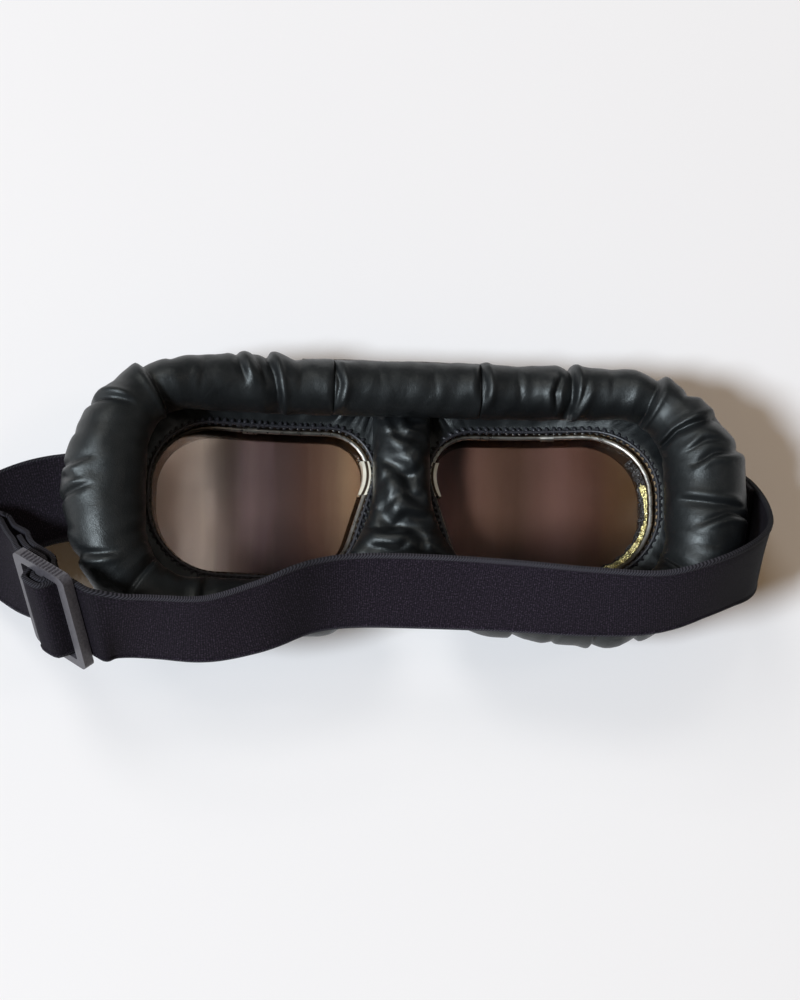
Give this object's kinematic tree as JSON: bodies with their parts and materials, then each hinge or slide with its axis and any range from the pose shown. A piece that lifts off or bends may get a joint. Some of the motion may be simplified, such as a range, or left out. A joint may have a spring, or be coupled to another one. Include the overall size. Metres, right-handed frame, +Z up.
{
  "type": "aviator goggles",
  "caption": "Folding aviator goggles: two wrapped metal frames with tinted lenses, a padded leather mask, swinging wire strap loops and an elastic head strap with a slider.",
  "frame": {"origin": "on the table, under the nose hinge, midway between the two lines on which the front frames touch the table", "axes": "the goggles lie face down: +X to the right eye, +Y to the brow, +Z up, from the front of the frames to the padded face side"},
  "size_m": [0.2284, 0.0912, 0.0651],
  "materials": {
    "brass": "polished, slightly worn",
    "brass_foil": "bright, crumpled",
    "pale_gold_metal": "bright plated",
    "smoke_lens": "tinted, polished",
    "black_leather": "glossy, grained",
    "foam": "open cell",
    "black_thread": "matte",
    "elastic_webbing": "woven, matte",
    "dark_plastic": "satin"
  },
  "bodies": {
    "left_half": {"front_frame_left": "brass", "lens_left": "smoke_lens", "lens_seat_strip_left": "brass", "retaining_wire_left": "pale_gold_metal", "wire_ferrule_left": "pale_gold_metal", "hinge_leaf_left": "pale_gold_metal", "temple_bracket_left": "brass", "bracket_rivets_left": "brass", "mask_leather_left": "black_leather", "edge_stitching_left": "black_thread", "padded_roll_left": "black_leather", "roll_foam_left": "foam", "hinge_pin": "pale_gold_metal", "bridge_roll": "black_leather", "bridge_foam": "foam", "nose_pad": "black_leather", "head_strap": "elastic_webbing"},
    "right_half": {"front_frame_right": "brass", "lens_right": "smoke_lens", "lens_seat_strip_right": "brass", "retaining_wire_right": "pale_gold_metal", "wire_ferrule_right": "pale_gold_metal", "packing_foil_right": "brass_foil", "hinge_leaf_right": "pale_gold_metal", "temple_bracket_right": "brass", "bracket_rivets_right": "brass", "mask_leather_right": "black_leather", "edge_stitching_right": "black_thread", "padded_roll_right": "black_leather", "roll_foam_right": "foam"},
    "loop_left": {"strap_loop_left": "pale_gold_metal"},
    "loop_right": {"strap_loop_right": "pale_gold_metal"},
    "slider": {"strap_slider": "dark_plastic"}
  },
  "joints": [
    {"name": "nose_fold", "type": "hinge", "parent": "left_half", "child": "right_half", "pos_m": [0, 0.008, 0.006], "axis": [0, -1, 0], "range_deg": [0, 20], "deforming": ["head_strap", "bridge_roll", "bridge_foam", "nose_pad"]},
    {"name": "loop_left_swing", "type": "hinge", "parent": "left_half", "child": "loop_left", "pos_m": [-0.084, 0, 0.014], "axis": [0, 1, 0], "range_deg": [-60, 35], "deforming": ["head_strap"]},
    {"name": "loop_right_swing", "type": "hinge", "parent": "right_half", "child": "loop_right", "pos_m": [0.084, 0, 0.014], "axis": [0, -1, 0], "range_deg": [-60, 35], "deforming": ["head_strap"]},
    {"name": "slider_slide", "type": "slide", "parent": "left_half", "child": "slider", "axis": [-0.639, 0.4337, -0.6353], "range_m": [-0.008, 0.008], "deforming": ["head_strap"]}
  ]
}
